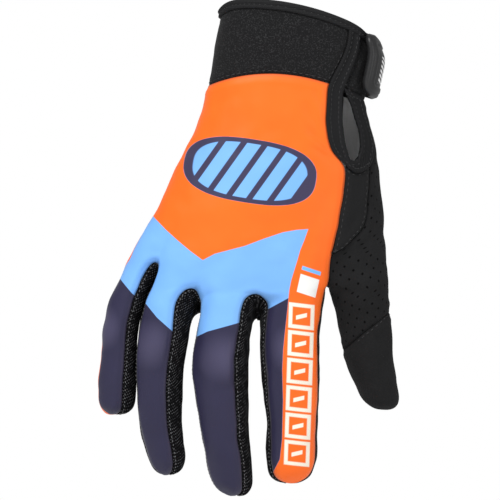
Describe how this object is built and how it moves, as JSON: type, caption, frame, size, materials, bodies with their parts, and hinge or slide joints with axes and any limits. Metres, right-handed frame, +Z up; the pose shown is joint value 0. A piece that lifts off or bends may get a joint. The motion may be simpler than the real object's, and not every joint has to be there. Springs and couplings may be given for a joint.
{
  "type": "glove",
  "caption": "Full-finger slip-on sports glove for the right hand, printed stretch back, black neoprene cuff with keyhole slit and pull tab, filled as if worn",
  "frame": {"origin": "middle of the cuff's opening, where the hand goes in", "axes": "+Z runs up the arm and away from the fingertips, +X is the thumb's side, -Y is the back of the hand"},
  "size_m": [0.1402, 0.0597, 0.2288],
  "materials": {
    "printed_knit": "matte stretch knit, printed orange, light blue and navy",
    "suede": "matte synthetic suede",
    "perforated_suede": "matte synthetic suede with small holes",
    "ribbed_knit": "matte ribbed stretch mesh",
    "smooth_knit": "smooth stretch knit",
    "neoprene": "matte fabric-faced neoprene",
    "tape": "woven binding tape",
    "webbing": "woven strap",
    "moulded_rubber": "satin moulded rubber"
  },
  "bodies": {
    "root": {"back_panel": "printed_knit", "palm_panel": "suede", "fourchette_little_ring": "ribbed_knit", "fourchette_ring_middle": "ribbed_knit", "fourchette_middle_index": "ribbed_knit", "thumb_gusset": "smooth_knit", "thumb_panel": "perforated_suede", "thumb_tip": "suede", "cuff_back": "neoprene", "cuff_palm": "neoprene", "keyhole_binding": "tape", "cuff_hem": "tape", "closure_strap": "webbing", "closure_tab": "moulded_rubber"}
  },
  "joints": []
}
